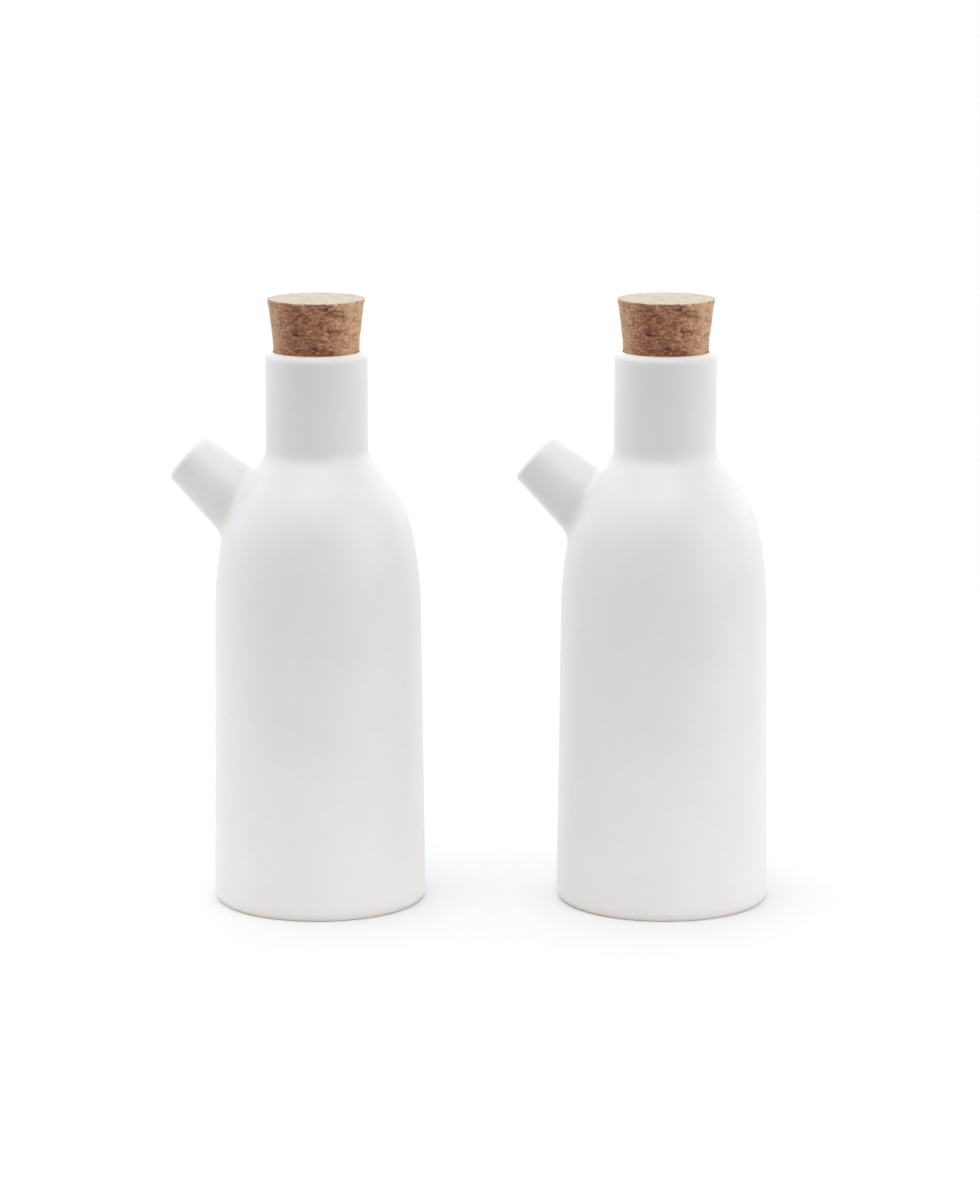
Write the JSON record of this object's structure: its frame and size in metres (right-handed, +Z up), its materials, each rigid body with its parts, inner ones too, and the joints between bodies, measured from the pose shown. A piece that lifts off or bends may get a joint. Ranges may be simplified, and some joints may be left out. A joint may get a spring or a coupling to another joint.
{
  "type": "cruet set",
  "caption": "Pair of tall porcelain cruets, each with a rounded shoulder, a short neck, a slanted conical pouring spout and a tapered cork stopper.",
  "frame": {"origin": "centre of the pair's bounding box, at the table", "axes": "+Z up; +X from the left cruet to the right one; both spouts point to -X, turned 10 degrees towards +Y; the front is -Y"},
  "size_m": [0.2046, 0.0726, 0.2075],
  "materials": {
    "porcelain": "satin white glaze, bare warm-white foot ring",
    "cork": "natural cork, sanded"
  },
  "bodies": {
    "cruet_left": {"bottle_left": "porcelain"},
    "cork_left": {"stopper_left": "cork"},
    "cruet_right": {"bottle_right": "porcelain"},
    "cork_right": {"stopper_right": "cork"}
  },
  "joints": [
    {"name": "left_cork_pull", "type": "slide", "parent": "cruet_left", "child": "cork_left", "axis": [0, 0, 1], "range_m": [0, 0.06]},
    {"name": "right_cruet_lift", "type": "slide", "parent": "cruet_left", "child": "cruet_right", "axis": [0, 0, 1], "range_m": [0, 0.25]},
    {"name": "right_cork_pull", "type": "slide", "parent": "cruet_right", "child": "cork_right", "axis": [0, 0, 1], "range_m": [0, 0.06]}
  ]
}
